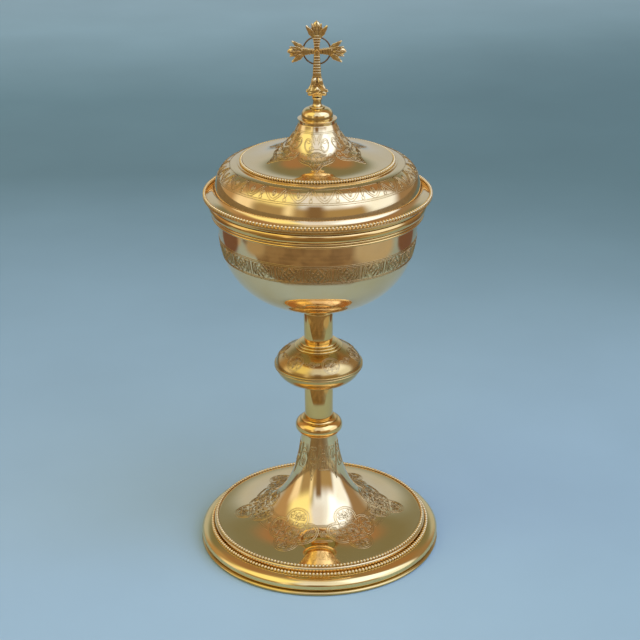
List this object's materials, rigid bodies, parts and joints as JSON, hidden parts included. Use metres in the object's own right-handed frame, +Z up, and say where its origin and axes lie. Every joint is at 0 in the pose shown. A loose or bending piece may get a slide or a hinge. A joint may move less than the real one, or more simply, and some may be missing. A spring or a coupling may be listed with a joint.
{
  "type": "ciborium",
  "caption": "Covered gilt metal ciborium: spun round foot, knopped stem, round bowl and a domed lift-off lid topped by a leaf-ended cross.",
  "frame": {"origin": "middle of the underside of the foot, on the surface it stands on", "axes": "+Z up along the vessel's axis, the flat of the cross faces -Y, its arms lie along X"},
  "size_m": [0.15, 0.15, 0.3297],
  "materials": {
    "gilt_polished": "polished gilding",
    "gilt_engraved": "polished gilding with engraved lines",
    "gilt_wire": "gilt milled wire",
    "gilt_cast": "gilt casting, chased",
    "plain_brass": "dull machined brass"
  },
  "bodies": {
    "base": {"foot_base_ring": "gilt_polished", "foot_rim": "gilt_polished", "foot_bead_outer": "gilt_wire", "foot_band": "gilt_polished", "foot_bead_inner": "gilt_wire", "foot_plate": "gilt_engraved", "foot_collar": "gilt_polished", "foot_collar_ring": "gilt_polished", "stem_tube_lower": "gilt_polished", "knop_lower_shell": "gilt_polished", "knop_upper_shell": "gilt_engraved", "knop_girdle": "gilt_polished", "knop_cap": "gilt_polished", "stem_tube_upper": "gilt_polished", "cup_collar": "gilt_polished", "bowl": "gilt_engraved", "cup_saucer": "gilt_polished", "cup_stud_plate": "plain_brass", "tie_washer": "plain_brass", "tie_nut": "plain_brass", "tie_rod": "plain_brass", "bowl_rim_band": "gilt_polished", "bowl_rim_moulding": "gilt_polished", "bowl_rim_fillet": "gilt_polished"},
    "lid_bezel_ring": {"lid_bezel": "gilt_polished"},
    "lid": {"lid_brim": "gilt_polished", "lid_brim_bead": "gilt_wire", "lid_dome": "gilt_engraved", "lid_disc_ring": "gilt_polished", "lid_disc_bead": "gilt_wire", "lid_cone": "gilt_engraved", "finial_lip": "gilt_polished", "finial_boss": "gilt_polished", "finial_neck": "gilt_polished", "finial_washer": "plain_brass", "finial_nut": "plain_brass", "finial_stud": "plain_brass", "cross": "gilt_cast", "cross_nimbus": "gilt_wire"}
  },
  "joints": [
    {"name": "lid_lift", "type": "slide", "parent": "base", "child": "lid_bezel_ring", "axis": [0, 0, 1], "range_m": [0, 0.12]},
    {"name": "lid_turn", "type": "hinge", "parent": "lid_bezel_ring", "child": "lid", "pos_m": [0, 0, 0.2283], "axis": [0, 0, 1], "continuous": true}
  ]
}
